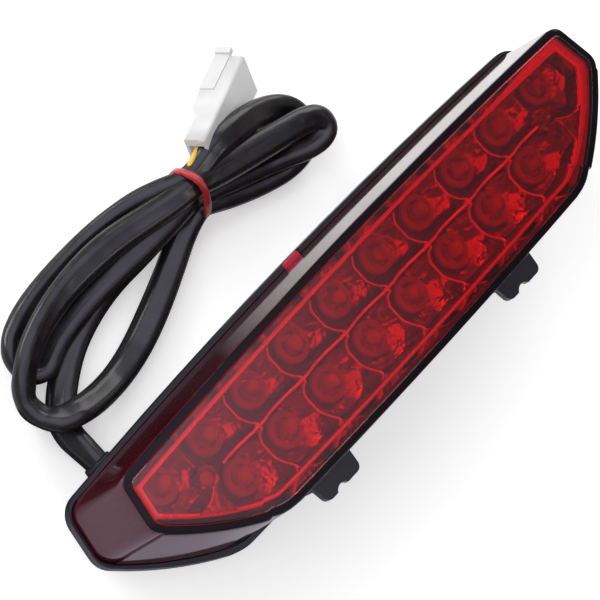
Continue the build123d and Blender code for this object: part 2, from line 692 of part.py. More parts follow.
with BuildPart() as latch:
    with BuildSketch(nose.offset(-LATCH_L)):
        with Locations((-CONNECTOR_T / 2 + LATCH_W / 2, face_y + LATCH_T / 2)):
            Rectangle(LATCH_W, LATCH_T)
    extrude(amount=LATCH_L + LATCH_NOSE_L)
    with BuildSketch(nose.offset(LATCH_CLEARANCE)):
        with Locations((-CONNECTOR_T / 2 + LATCH_W / 2, face_y + (LATCH_T - LATCH_NOSE_H) / 2)):
            Rectangle(LATCH_W, LATCH_T + LATCH_NOSE_H)
    extrude(amount=LATCH_NOSE_L - LATCH_CLEARANCE)
finish(latch.part, "connector_latch")

with BuildPart() as terminals:
    with BuildSketch(nose.offset(TERMINAL_Z[0])):
        with Locations(*[(CAVITY_X, y) for y in CAVITY_Y]):
            Rectangle(TERMINAL_T, TERMINAL_W)
    extrude(amount=TERMINAL_Z[1] - TERMINAL_Z[0])
    with BuildSketch(nose.offset(TERMINAL_COLLAR_Z[0])):
        with Locations(*[(CAVITY_X, y) for y in CAVITY_Y]):
            Rectangle(CAVITY_T, CAVITY_W)
    extrude(amount=TERMINAL_COLLAR_Z[1] - TERMINAL_COLLAR_Z[0])
finish(terminals.part, "connector_terminals")

WIRE_DIVE = Vector(-8.0, -3.0, -4.5)
for y, colour in zip(CAVITY_Y, COLOURS):
    crimp = nose.from_local_coords(Vector(CAVITY_X, y, TERMINAL_Z[0]))
    behind = nose.from_local_coords(Vector(CAVITY_X, y, -CONNECTOR_L - 4.5))
    outer_route = [tuple(crimp), tuple(behind), tuple(behind + WIRE_DIVE)]
    finish(tube(outer_route, WIRE_R, f"wire_{colour}"), f"wire_{colour}")
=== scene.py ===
from math import cos, sin, pi, radians, sqrt, tan, atan2

import bmesh
import bpy
from mathutils import Matrix, Vector


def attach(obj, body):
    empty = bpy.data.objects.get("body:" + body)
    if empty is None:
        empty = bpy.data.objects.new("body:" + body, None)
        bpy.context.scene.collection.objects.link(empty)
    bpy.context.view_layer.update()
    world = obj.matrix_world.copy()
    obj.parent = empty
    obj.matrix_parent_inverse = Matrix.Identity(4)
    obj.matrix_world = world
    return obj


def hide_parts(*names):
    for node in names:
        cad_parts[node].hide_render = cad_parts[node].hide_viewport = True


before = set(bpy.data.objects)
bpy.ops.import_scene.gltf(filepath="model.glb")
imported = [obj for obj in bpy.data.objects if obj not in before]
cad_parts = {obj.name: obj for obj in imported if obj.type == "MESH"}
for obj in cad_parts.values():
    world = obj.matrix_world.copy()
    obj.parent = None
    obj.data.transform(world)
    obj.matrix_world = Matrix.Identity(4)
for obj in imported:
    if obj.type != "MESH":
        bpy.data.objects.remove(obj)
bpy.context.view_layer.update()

MM = 0.001
scene = bpy.context.scene
BODY = "light"

# ---------------------------------------------------------------- camera
EYE = Vector((-0.5215, 0.13395, 0.8910))
AIM = Vector((0.00305, 0.01368, 0.0))
UP = Vector((0.625, 0.732, 0.272))


def aimed(eye, aim, up):
    """Matrix that stands at eye and looks at aim."""
    back = (eye - aim).normalized()
    right = up.cross(back).normalized()
    over = back.cross(right)
    turn = Matrix((right, over, back)).transposed().to_4x4()
    return Matrix.Translation(eye) @ turn


camera = bpy.data.objects.new("camera", bpy.data.cameras.new("camera"))
scene.collection.objects.link(camera)
camera.data.lens = 217.1
camera.data.sensor_width = 36
camera.data.clip_start = 0.05
camera.data.clip_end = 20
camera.matrix_world = aimed(EYE, AIM, UP)
scene.camera = camera


# ---------------------------------------------------------------- node helpers
class Shade:
    """A material's nodes, with the few moves that every material here uses."""

    def __init__(self, name, color, rough, **sockets):
        self.mat = bpy.data.materials.new(name)
        self.mat.use_nodes = True
        self.tree = self.mat.node_tree
        self.bsdf = self.tree.nodes["Principled BSDF"]
        self.bsdf.inputs["Base Color"].default_value = (*color, 1)
        self.bsdf.inputs["Roughness"].default_value = rough
        for key, value in sockets.items():
            self.bsdf.inputs[key.replace("_", " ")].default_value = value
        self.place = self.node("ShaderNodeTexCoord").outputs["Object"]
        self.height = None

    def node(self, kind, **props):
        made = self.tree.nodes.new(kind)
        for key, value in props.items():
            setattr(made, key, value)
        return made

    def link(self, out, socket):
        self.tree.links.new(out, socket)

    def stretched(self, scale):
        """The place, scaled by three factors."""
        mapping = self.node("ShaderNodeMapping")
        mapping.inputs["Scale"].default_value = scale
        self.link(self.place, mapping.inputs["Vector"])
        return mapping.outputs["Vector"]

    def noise(self, scale, detail=4.0, rough=0.55, stretch=(1, 1, 1)):
        noise = self.node("ShaderNodeTexNoise")
        noise.inputs["Scale"].default_value = scale
        noise.inputs["Detail"].default_value = detail
        noise.inputs["Roughness"].default_value = rough
        self.link(self.stretched(stretch), noise.inputs["Vector"])
        return noise.outputs["Fac"]

    def ranged(self, value, low, high, from_low=0.3, from_high=0.7):
        remap = self.node("ShaderNodeMapRange")
        limits = {"From Min": from_low, "From Max": from_high, "To Min": low, "To Max": high}
        for key, number in limits.items():
            remap.inputs[key].default_value = number
        self.link(value, remap.inputs["Value"])
        return remap.outputs["Result"]

    def mixed(self, factor, first, second):
        mix = self.node("ShaderNodeMix", data_type="RGBA")
        self.link(factor, mix.inputs["Factor"])
        for socket, value in zip(("A", "B"), (first, second)):
            plug = [s for s in mix.inputs if s.name == socket and s.type == "RGBA"][0]
            if isinstance(value, tuple):
                plug.default_value = (*value, 1)
            else:
                self.link(value, plug)
        return [s for s in mix.outputs if s.type == "RGBA"][0]

    def color(self, out):
        self.link(out, self.bsdf.inputs["Base Color"])

    def rough(self, out):
        self.link(out, self.bsdf.inputs["Roughness"])

    def bump(self, out, strength, distance):
        bump = self.node("ShaderNodeBump")
        bump.inputs["Strength"].default_value = strength
        bump.inputs["Distance"].default_value = distance
        self.link(out, bump.inputs["Height"])
        if self.height is not None:
            self.link(self.height, bump.inputs["Normal"])
        self.height = bump.outputs["Normal"]
        self.link(self.height, self.bsdf.inputs["Normal"])

    def axis(self, which):
        split = self.node("ShaderNodeSeparateXYZ")
        self.link(self.place, split.inputs["Vector"])
        return split.outputs[which]


def grained(name, color, spread, rough, rough_spread, grain, strength, distance, **sockets):
    """A moulded or metal surface: mottled colour, uneven gloss and a fine grain."""
    shade = Shade(name, color, rough, **sockets)
    cloud = shade.noise(grain / 8)
    fine = shade.noise(grain)
    lighter = tuple(min(1, c + spread * (0.3 + c)) for c in color)
    shade.color(shade.mixed(shade.ranged(cloud, 0, 1), color, lighter))
    shade.rough(shade.ranged(cloud, rough - rough_spread, rough + rough_spread))
    shade.bump(fine, strength, distance)
    return shade


# ---------------------------------------------------------------- materials
lens_shade = Shade("lens_red", (0.80, 0.006, 0.016), 0.05, Transmission_Weight=1.0, IOR=1.49)
lens_shade.rough(lens_shade.ranged(lens_shade.noise(60), 0.05, 0.11))
lens_shade.bump(lens_shade.noise(14, detail=1.0), 0.05, 0.0006)

# the drafted walls are thick plastic seen edge-on: a dark wine colour with a clear gloss
wall_shade = Shade("lens_wall", (0.16, 0.012, 0.028), 0.06,
                   Transmission_Weight=0.75, IOR=1.49, Coat_Weight=0.25)
wall_shade.rough(wall_shade.ranged(wall_shade.noise(60), 0.04, 0.10))
wall_shade.bump(wall_shade.noise(14, detail=1.0), 0.04, 0.0006)

# the rolled edge round the plate looks nearly black; that colour is painted shade, standing for the dark
# housing seen through the edge of the clear lens
edge_shade = Shade("lens_edge_painted_shade", (0.008, 0.004, 0.007), 0.14, Specular_IOR_Level=0.12)
edge_shade.rough(edge_shade.ranged(edge_shade.noise(90), 0.08, 0.18))
edge_shade.bump(edge_shade.noise(40, detail=1.0), 0.03, 0.0004)

tab_shade = grained("lens_tab", (0.62, 0.012, 0.045), 0.02, 0.2, 0.05, 500, 0.04, 0.00005,
                    Subsurface_Weight=0.3)

optic_shade = Shade("optic_clear", (0.80, 0.62, 0.66), 0.12, Transmission_Weight=0.92, IOR=1.49)
optic_shade.rough(optic_shade.ranged(optic_shade.noise(300), 0.12, 0.25))

black_shade = grained("black_abs", (0.006, 0.006, 0.007), 0.01, 0.34, 0.06, 1600, 0.12, 0.00006)
rubber_shade = grained("black_rubber", (0.012, 0.012, 0.012), 0.03, 0.6, 0.1, 1200, 0.2, 0.0001)
mirror_shade = grained("metallised", (0.50, 0.46, 0.48), 0.02, 0.24, 0.06, 700, 0.08, 0.00004, Metallic=1.0)
mirror_shade.bump(mirror_shade.noise(260, detail=2.0), 0.9, 0.0012)
# the crests glow faintly red: a painted glint standing for the light their rolled tops catch
crest_glint_shade = grained("crest_painted_glint", (0.95, 0.93, 0.93), 0.03, 0.30, 0.08, 900, 0.1, 0.00004, Metallic=0.5,
                     Emission_Color=(1, 0.6, 0.6, 1), Emission_Strength=0.26)
collar_shade = grained("white_collar", (0.60, 0.56, 0.55), 0.05, 0.22, 0.08, 900, 0.08, 0.00004)
led_shade = Shade("led_epoxy", (0.95, 0.25, 0.25), 0.05, Transmission_Weight=0.7, IOR=1.5)
led_shade.rough(led_shade.ranged(led_shade.noise(400), 0.02, 0.1))
board_shade = grained("board_green", (0.01, 0.08, 0.03), 0.03, 0.4, 0.08, 900, 0.1, 0.00005)
resistor_shade = grained("resistor_body", (0.50, 0.38, 0.24), 0.05, 0.4, 0.08, 900, 0.1, 0.00005)
chip_shade = grained("chip_black", (0.015, 0.015, 0.015), 0.02, 0.5, 0.08, 1500, 0.15, 0.00005)
can_shade = grained("cap_can", (0.6, 0.6, 0.62), 0.03, 0.3, 0.06, 1500, 0.05, 0.00003, Metallic=1.0)


def small_metal(name, color, rough):
    """A fine-grained bare metal for small hardware."""
    return grained(name, color, 0.05, rough, 0.08, 1500, 0.08, 0.00003, Metallic=1.0)


tin_shade = small_metal("tinned_steel", (0.62, 0.62, 0.60), 0.35)
screw_shade = small_metal("screw_zinc", (0.50, 0.50, 0.52), 0.35)
brass_shade = small_metal("insert_brass", (0.62, 0.42, 0.16), 0.3)
terminal_shade = small_metal("terminal_brass", (0.66, 0.45, 0.22), 0.3)
yellow_shade = grained("wire_yellow", (0.78, 0.45, 0.02), 0.04, 0.35, 0.08, 700, 0.08, 0.00004,
                       Coat_Weight=0.2)
orange_shade = grained("wire_orange", (0.60, 0.16, 0.02), 0.04, 0.35, 0.08, 700, 0.08, 0.00004,
                       Coat_Weight=0.2)
wire_black_shade = grained("wire_black", (0.012, 0.012, 0.012), 0.03, 0.35, 0.08, 700, 0.08, 0.00004)
# the connector's faint white glow is painted light that brightens it
nylon_shade = grained("nylon_milky", (0.60, 0.60, 0.605), 0.03, 0.32, 0.06, 500, 0.06, 0.00005,
                      IOR=1.5, Subsurface_Weight=0.5,
                      Emission_Color=(1, 0.99, 0.98, 1), Emission_Strength=0.09)
nylon_shade.bsdf.inputs["Subsurface Radius"].default_value = (0.004, 0.004, 0.004)
tie_shade = grained("tie_red", (0.42, 0.008, 0.012), 0.05, 0.35, 0.08, 600, 0.1, 0.00005, Coat_Weight=0.3)

cord_shade = Shade("pvc_black", (0.009, 0.009, 0.010), 0.36)
cloud = cord_shade.noise(90)
cord_shade.color(cord_shade.mixed(cord_shade.ranged(cloud, 0, 1),
                                  (0.008, 0.008, 0.009), (0.018, 0.018, 0.020)))
cord_shade.rough(cord_shade.ranged(cord_shade.noise(160), 0.20, 0.32))
cord_shade.bump(cord_shade.noise(55, detail=2.0), 0.06, 0.0006)
cord_shade.bump(cord_shade.noise(900), 0.06, 0.00005)

SHADES = {
    "lens": lens_shade, "side_optic_left": optic_shade, "side_optic_right": optic_shade,
    "housing": black_shade, "vent_cap": rubber_shade, "lens_seal": rubber_shade,
    "reflector": mirror_shade,
    "led_collars": collar_shade, "upper_leds": led_shade, "lower_leds": led_shade,
    "circuit_board": board_shade, "resistors": resistor_shade, "driver_chips": chip_shade,
    "capacitor": can_shade, "wire_terminals": tin_shade, "reflector_screws": screw_shade,
    "board_screws": screw_shade, "mounting_inserts": brass_shade, "cable_grommet": rubber_shade,
    "inner_wire_yellow": yellow_shade, "inner_wire_orange": orange_shade,
    "inner_wire_black": wire_black_shade,
    "cord_lead": cord_shade, "cord_hank": cord_shade, "wire_yellow": yellow_shade,
    "wire_orange": orange_shade, "wire_black": wire_black_shade, "connector_housing": nylon_shade,
    "connector_latch": nylon_shade, "connector_terminals": terminal_shade, "tie_band": tie_shade,
}
for name, shade in SHADES.items():
    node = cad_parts[name]
    node.data.materials.clear()
    node.data.materials.append(shade.mat)


# ---------------------------------------------------------------- piece helpers
def piece(name, data, shade, slot, *nodes, body=BODY):
    """Links a finished piece, gives it its material and body, and hides the CAD nodes it stands for."""
    obj = bpy.data.objects.new(name, data)
    scene.collection.objects.link(obj)
    data.materials.append(shade.mat)
    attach(obj, body)
    if nodes:
        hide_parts(*nodes)
    return obj


def meshed(bm, name, crease=35):
    """A mesh from bm with smooth faces and sharp edges where it turns by more than crease."""
    bmesh.ops.remove_doubles(bm, verts=bm.verts, dist=1e-6)
    bmesh.ops.recalc_face_normals(bm, faces=bm.faces)
    mesh = bpy.data.meshes.new(name)
    bm.to_mesh(mesh)
    bm.free()
    for face in mesh.polygons:
        face.use_smooth = True
    mesh.set_sharp_from_angle(angle=radians(crease))
    return mesh


def bridge(bm, lower, upper, slot=0):
    """Quads between two closed rings of the same count, in one of the mesh's materials."""
    count = len(lower)
    for i in range(count):
        j = (i + 1) % count
        bm.faces.new((lower[i], lower[j], upper[j], upper[i])).material_index = slot


def skin(bm, rings, slots=None):
    """Rings of points joined one after another; returns the rings of vertices."""
    made = [[bm.verts.new(p) for p in ring] for ring in rings]
    for i, (lower, upper) in enumerate(zip(made, made[1:])):
        bridge(bm, lower, upper, slots[i] if slots else 0)
    return made


# ---------------------------------------------------------------- connector, with moulded edges
def eased(node, name, shade, slot, width, body=BODY):
    """A copy of a CAD node with its sharp edges rounded."""
    bm = bmesh.new()
    bm.from_mesh(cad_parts[node].data)
    bmesh.ops.remove_doubles(bm, verts=bm.verts, dist=1e-6)
    bmesh.ops.dissolve_limit(bm, angle_limit=radians(1), verts=bm.verts, edges=bm.edges)
    sharp = [e for e in bm.edges if len(e.link_faces) == 2 and e.calc_face_angle(0) > radians(40)]
    bmesh.ops.bevel(bm, geom=sharp, offset=width * MM, segments=3, affect="EDGES", clamp_overlap=True)
    return piece(name, meshed(bm, name, 45), shade, slot, node, body=body)


shell = eased("connector_housing", "connector_shell", nylon_shade, "nylon_milky", 0.5)

# ---------------------------------------------------------------- cord
ROUTE = [
    # out of the grommet, then under the folds to the tie
    (-83.4, 24.6, 6.8), (-83.4, 29.6, 6.4), (-82.8, 34.8, 4.4), (-80.5, 39.6, 3.8), (-77.0, 43.2, 3.8),
    (-70.9, 47.4, 3.8), (-62.8, 51.6, 3.8), (-52.1, 54.9, 3.8), (-40.2, 56.9, 3.8), (-26.7, 56.9, 3.8),
    (-15.1, 57.2, 4.4), (-6.4, 57.4, 6.4),
    # the flat fold of the right lobe
    (1.6, 55.6, 7.0), (10.9, 52.8, 6.6), (21.1, 49.8, 6.0), (29.0, 46.8, 7.0), (34.4, 44.3, 8.2),
    (39.2, 43.3, 9.5), (42.4, 44.9, 10.8), (41.7, 48.5, 12.0), (36.5, 50.8, 12.8), (29.2, 52.3, 13.2),
    (17.9, 54.6, 13.2), (5.8, 57.0, 13.6), (-4.7, 59.7, 14.4),
    # left along the top, round the kinked turn and back
    (-8.4, 60.0, 14.4), (-19.0, 61.6, 13.0), (-29.1, 63.5, 12.0), (-40.8, 65.0, 12.0), (-53.6, 64.9, 11.0),
    (-66.2, 63.3, 11.0), (-77.2, 59.8, 11.0), (-84.8, 54.1, 9.0), (-87.4, 49.2, 7.0), (-86.5, 43.9, 7.5),
    (-84.5, 40.0, 10.0), (-77.9, 37.9, 10.5), (-69.2, 36.6, 8.0), (-58.5, 36.6, 5.0), (-47.7, 38.5, 3.9),
    (-35.7, 42.4, 3.9), (-23.5, 47.2, 4.1), (-13.2, 52.0, 5.0), (-5.6, 54.6, 7.0),
    # the wide fold of the right lobe, whose upper strand lies on the connector
    (-0.4, 53.2, 6.2), (7.6, 50.0, 4.4), (17.6, 46.4, 4.0), (27.4, 43.6, 4.0), (34.7, 43.6, 4.0),
    (38.6, 45.9, 4.4), (40.4, 49.2, 5.2), (40.7, 53.5, 6.4), (37.0, 57.6, 8.4), (30.2, 60.6, 10.6),
    (20.6, 62.8, 14.6), (9.8, 63.8, 17.0), (3.2, 63.2, 16.4), (-2.6, 61.9, 14.8),
    # left along the outside, round and back into the tie
    (-8.2, 62.4, 13.4), (-13.6, 64.6, 11.8), (-21.6, 67.2, 8.6), (-34.5, 68.8, 5.0), (-49.6, 68.7, 4.0),
    (-61.6, 67.6, 3.8), (-70.3, 65.6, 3.8), (-76.2, 63.3, 3.8), (-79.1, 59.4, 3.8), (-78.7, 54.6, 3.8),
    (-74.5, 52.4, 4.4), (-68.8, 55.0, 4.6), (-62.4, 56.6, 5.0), (-51.3, 58.0, 6.5), (-39.1, 58.2, 8.0),
    (-24.9, 57.6, 9.4), (-13.4, 57.8, 10.0), (-6.6, 58.2, 10.0),
]
HALF_W, HALF_T = 4.3, 2.7
ROUND_R = 3.6  # the sleeve is still round at the grommet
FLATTENED_RUN = 14
CREASE = 0.16  # depth of the hollow along the flat side, as a share of the thickness


def spline_points(points):
    """Places along the smooth line that the control points draw, in metres."""
    data = bpy.data.curves.new("line", "CURVE")
    data.dimensions = "3D"
    spline = data.splines.new("NURBS")
    spline.points.add(len(points) - 1)
    for point, place in zip(spline.points, points):
        point.co = (*(c * MM for c in place), 1)
    spline.order_u = 3
    spline.use_endpoint_u = True
    spline.resolution_u = 12
    line = bpy.data.objects.new("line", data)
    mesh = bpy.data.meshes.new_from_object(line)
    places = [v.co.copy() for v in mesh.vertices]
    bpy.data.objects.remove(line)
    bpy.data.meshes.remove(mesh)
    return places


def softened(values, reach):
    """Each value replaced by the mean of its neighbours."""
    groups = [values[max(0, i - reach):i + reach + 1] for i in range(len(values))]
    return [sum(group) / len(group) for group in groups]


def sleeve_mesh(places):
    """A soft flat sleeve, hollow along its flat sides, that tilts more where it bends."""
    count, around = len(places), 28
    ways = [(places[min(i + 1, count - 1)] - places[max(i - 1, 0)]).normalized() for i in range(count)]
    runs = [0.0]
    for before, after in zip(places, places[1:]):
        runs.append(runs[-1] + (after - before).length / MM)
    bends = [ways[max(i - 1, 0)].angle(ways[min(i + 1, count - 1)]) /
             max(1e-6, runs[min(i + 1, count - 1)] - runs[max(i - 1, 0)]) for i in range(count)]
    bends = softened([min(1.0, bend * 16) for bend in bends], 9)
    bm = bmesh.new()
    rings = []
    for place, way, run, bend in zip(places, ways, runs, bends):
        fade = min(1.0, run / FLATTENED_RUN)
        tilt = radians(10 + 26 * bend) + 0.16 * sin(run / 13)
        flat_w = HALF_W * (1 + 0.04 * sin(run / 8.7))
        flat_t = HALF_T * (1 + 0.06 * sin(run / 11 + 1) + 0.04 * bend * sin(run * 0.9))
        wide = ROUND_R + (flat_w - ROUND_R) * fade
        thick = ROUND_R + (flat_t - ROUND_R) * fade
        flat = way.cross(Vector((0, 0, 1))).normalized()
        over = flat.cross(way)
        ring_points = []
        for k in range(around):
            angle = 2 * pi * k / around
            c, s = cos(angle), sin(angle)
            u = wide * abs(c) ** 0.88 * (1 if c > 0 else -1)
            v = thick * abs(s) ** 1.20 * (1 if s > 0 else -1)
            v *= 1 - CREASE * fade * max(0.0, 1 - (u / 1.6) ** 2)
            ring_points.append(place + (flat * (u * cos(tilt) - v * sin(tilt))
                                        + over * (u * sin(tilt) + v * cos(tilt))) * MM)
        rings.append(ring_points)
    made = skin(bm, rings)
    bm.faces.new(reversed(made[0]))
    bm.faces.new(made[-1])
    return meshed(bm, "lead_sleeve", 70)


TIE_X, TIE_Y, TIE_Z = -6.3, 58.7, 10.3
TIE_HALF_LONG, TIE_HALF_SHORT = 9.0, 6.5
TIE_LONG_WAY = Vector((0, 0.55, 0.835))  # the bundle is taller towards its far side
TIE_SHORT_WAY = Vector((0, -0.835, 0.55))


def tie_mesh():
    """An elastic band of uneven thickness pulled round the bundle."""
    bm = bmesh.new()
    turns, around = 120, 16
    rings = []
    for k in range(turns):
        angle = 2 * pi * k / turns
        c, s = cos(angle), sin(angle)
        far = TIE_HALF_LONG * abs(c) ** 0.85 * (1 if c > 0 else -1)
        near = TIE_HALF_SHORT * abs(s) ** 0.85 * (1 if s > 0 else -1)
        centre = Vector((TIE_X, TIE_Y, TIE_Z)) + TIE_LONG_WAY * far + TIE_SHORT_WAY * near
        out = TIE_LONG_WAY * c + TIE_SHORT_WAY * s
        centre.x += 0.25 * sin(3 * angle) - 0.06 * (centre.y - 59.0)
        half = 1.25 + 0.12 * sin(5 * angle) + 0.06 * sin(17 * angle)
        section = []
        for m in range(around):
            a = 2 * pi * m / around
            bulge = 0.8 * sin(a) + 0.12 * cos(3 * a + 2 * angle)
            section.append((centre + Vector((half * cos(a), 0, 0)) + out * bulge) * MM)
        rings.append(section)
    made = skin(bm, rings)
    bridge(bm, made[-1], made[0])
    return meshed(bm, "tie_strap", 50)


tie = piece("tie_strap", tie_mesh(), tie_shade, "tie_red", "tie_band")
LEAD_PATH = spline_points(ROUTE)
cord = piece("lead_sleeve", sleeve_mesh(LEAD_PATH), cord_shade, "pvc_black", "cord_lead", "cord_hank")

# ---------------------------------------------------------------- outlines of the light
FRONT_Z = 48.0
LENS_Y = 1.95
BOW = 1.5
BASE_Z = 15.8
FRONT = dict(top=(101.8, 19.5), side=(105.0, 3.2), bottom=(72.2, -19.5),
             bows=(2.6, 1.7, 0.8), radii=(4, 5, 18))
BASE = dict(top=(105.0, 20.3), side=(108.3, 3.6), bottom=(73.0, -20.8),
            bows=(2.8, 1.9, 0.8), radii=(5.5, 6, 18))


def between(low, high, t):
    """The outline a part t of the way from low to high."""
    def mix(a, b):
        return tuple(x + (y - x) * t for x, y in zip(a, b))
    return {key: mix(low[key], high[key]) for key in low}


def lens_side(z):
    """The lens's outline at height z on its drafted side."""
    return between(BASE, FRONT, (z - BASE_Z) / (FRONT_Z - BASE_Z))


LEAST_R = 0.25


def outline(shape, inset=0.0, along=22, around=9):
    """Points on the six-sided outline, from the left top corner clockwise, pulled in by inset."""
    (tx, ty), (sx, sy), (bx, by) = shape["top"], shape["side"], shape["bottom"]
    corners = [Vector(c) for c in ((-tx, ty), (tx, ty), (sx, sy), (bx, by), (-bx, by), (-sx, sy))]
    top_r, side_r, bottom_r = shape["radii"]
    radii = (top_r, top_r, side_r, bottom_r, bottom_r, side_r)
    bows = (shape["bows"][0], 0, shape["bows"][1], shape["bows"][2], shape["bows"][1], 0)
    count = len(corners)
    ways = [(corners[(i + 1) % count] - corners[i]).normalized() for i in range(count)]
    outs = [Vector((-way.y, way.x)) for way in ways]
    moved = []
    for i in range(count):
        before, after = outs[i - 1], outs[i]
        moved.append(corners[i] - (before + after) * (inset / (1 + before.dot(after))))
    points = []
    for i in range(count):
        start, end = moved[i], moved[(i + 1) % count]
        length = (end - start).length

        def trim(k):
            turn = ways[k - 1].angle(ways[k])
            rounding = max(LEAST_R, radii[k] - inset)
            return rounding * tan(turn / 2), rounding, turn

        def bowed(point, s):
            return point + outs[i] * bows[i] * (1 - (2 * s - 1) ** 2)

        cut_start, radius, turn = trim(i)
        cut_end = trim((i + 1) % count)[0]
        # the round corner before this edge
        pivot = start + ways[i] * cut_start - outs[i] * radius
        for k in range(around):
            angle = -turn * (1 - k / around)
            spoke = Vector((outs[i].x * cos(-angle) - outs[i].y * sin(-angle),
                            outs[i].x * sin(-angle) + outs[i].y * cos(-angle)))
            points.append(pivot + spoke * radius)
        for k in range(along + 1):
            reach = cut_start + (length - cut_start - cut_end) * k / along
            points.append(bowed(start + ways[i] * reach, reach / length))
    return [Vector((p.x, p.y + LENS_Y)) for p in points]


def crown(x):
    """Drop of the bowed front at x."""
    return BOW * (x / FRONT["side"][0]) ** 2


def ring(shape, z, inset=0.0, bowed=False):
    """An outline in space, in metres; with bowed it follows the front's crown."""
    return [Vector((p.x, p.y, z - (crown(p.x) if bowed else 0))) * MM for p in outline(shape, inset)]


def cap(bm, edge, z, steps=9, reach=62.0, mid=LENS_Y + 1.0):
    """Closes a ring of vertices with rings that shrink onto the middle line, on the crown."""
    ring_before = edge
    places = [v.co / MM for v in edge]
    for step in range(1, steps + 1):
        t = 1 - step / steps
        inner = []
        for p in places:
            cx = max(-reach, min(reach, p.x * reach / 100.0))
            x = cx + (p.x - cx) * t
            y = mid + (p.y - mid) * t
            inner.append(bm.verts.new(Vector((x, y, z - crown(x))) * MM))
        bridge(bm, ring_before, inner)
        ring_before = inner


# ---------------------------------------------------------------- lens
PLATE, WALL, EDGE, TAB = 0, 1, 2, 3
LENS_WALL = 2.2
# (height, inset): up the rolled edge and over the shoulder to the raised plate, and the inner corner
SHOULDER = ((47.1, 0.0), (47.42, 0.12), (47.6, 0.5), (47.6, 1.7), (47.66, 2.2), (47.9, 2.4), (FRONT_Z, 2.75))
INNER_CORNER = ((43.8, LENS_WALL), (44.7, 2.6), (45.0, 3.4))
TAB_PLACE = Vector((0, 25.2, 16.45))
TAB_SIZE = (7.0, 2.9, 1.3)
TAB_ROUND = 0.35


def lens_mesh():
    """The shell: side walls, rolled edge, raised plate, the same again inside, and the tab."""
    bm = bmesh.new()
    outer = [ring(lens_side(z), z) for z in (BASE_Z, 17.0, 24.0, 32.0, 40.0)]
    outer.append(ring(lens_side(45), 45.2, bowed=True))
    outer += [ring(FRONT, z, inset, True) for z, inset in SHOULDER]
    outside = skin(bm, outer, [WALL] * 6 + [EDGE] * 4 + [PLATE] * 2)
    cap(bm, outside[-1], FRONT_Z)
    inner = [ring(lens_side(z), z, LENS_WALL) for z in (BASE_Z, 24.0, 32.0, 40.0)]
    inner += [ring(FRONT, z, inset, True) for z, inset in INNER_CORNER]
    inside = skin(bm, inner)
    cap(bm, inside[-1], INNER_CORNER[-1][0])
    bridge(bm, inside[0], outside[0], WALL)
    # the locating tab in the rim's notch
    stretch = Matrix.Diagonal((*(side * MM for side in TAB_SIZE), 1))
    tab = bmesh.ops.create_cube(bm, size=1.0, matrix=Matrix.Translation(TAB_PLACE * MM) @ stretch)
    edges = {edge for vert in tab["verts"] for edge in vert.link_edges}
    faces = bmesh.ops.bevel(bm, geom=list(edges), offset=TAB_ROUND * MM, segments=3, affect="EDGES")["faces"]
    for face in {f for new in faces for v in new.verts for f in v.link_faces}:
        face.material_index = TAB
    return meshed(bm, "lens_shell", 40)


lens = piece("lens_shell", lens_mesh(), lens_shade, "lens_red", "lens")
for extra in (wall_shade, edge_shade, tab_shade):
    lens.data.materials.append(extra.mat)

# ---------------------------------------------------------------- reflector tray
MID_Y = LENS_Y + 2.3
PITCH = 19.7
COLUMNS = 8
ROW_HALF = 7.4
END_LED_X = 89.0
UPPER = [((i - 3.5) * PITCH, MID_Y + ROW_HALF) for i in range(8)]
UPPER = [(-END_LED_X, MID_Y + ROW_HALF), *UPPER, (END_LED_X, MID_Y + ROW_HALF)]
LOWER = [((i - 3.5) * PITCH, MID_Y - ROW_HALF) for i in range(8)]
LAMPS = UPPER + LOWER
CUP_FLOOR_Z = 34.0
CUP_FLOOR_R = 5.6
STEEP = 0.05
SCREW_X = 79.3
GRID_STEP = 0.4
GRID_X, GRID_Y = 98.0, (-15.2, 20.8)
CUT_SLOPE = 1.40  # the grid narrows this fast towards the light's shorter lower side
# the border lip reaches out to these insets, slim at the left and wide at the right end
WIDE_LIP, SLIM_LIP = 3.1, 5.0
LIP_WIDENS_X, LIP_WIDENS_RUN = 64, 30


def cup_height(x, y):
    """Height of the reflecting surface under a point of the cell area."""
    nearest, turn = min(((x - a) ** 2 + (y - b) ** 2, atan2(y - b, x - a)) for a, b in LAMPS)
    height = CUP_FLOOR_Z + STEEP * max(0.0, nearest - CUP_FLOOR_R ** 2)
    # each cup is a fan of shallow facets
    height += 0.055 * max(0.0, sqrt(nearest) - CUP_FLOOR_R) * abs(cos(6 * turn)) * 2
    height += 0.38 * max(0.0, sqrt(nearest) - 9.3) ** 2
    if abs(x) < SCREW_X:
        height += 1.15 * max(0.0, 2.2 - abs(y - MID_Y)) ** 2
    boss = sqrt((abs(x) - SCREW_X) ** 2 + (y - MID_Y) ** 2)
    if boss < 3.4:
        height = 38.0 if boss < 2.4 else max(height, 40.4)
    return min(height, 43.6)


def bead(bm, points, radius, around=10, slot=1):
    """A thin round bar along points, in millimetres."""
    rings = []
    for i, point in enumerate(points):
        way = (points[min(i + 1, len(points) - 1)] - points[max(i - 1, 0)]).normalized()
        flat = way.cross(Vector((0, 0, 1))).normalized()
        over = flat.cross(way)
        rings.append([(point + (flat * cos(a) + over * sin(a)) * radius) * MM
                      for a in (2 * pi * k / around for k in range(around))])
    made = skin(bm, rings, [slot] * (len(rings) - 1))
    bm.faces.new(reversed(made[0]))
    bm.faces.new(made[-1])


def crest(start, end, count=24):
    """Points on the reflecting surface along a straight line seen from above."""
    spots = [Vector(start).lerp(Vector(end), k / count) for k in range(count + 1)]
    return [Vector((p.x, p.y, cup_height(p.x, p.y))) for p in spots]


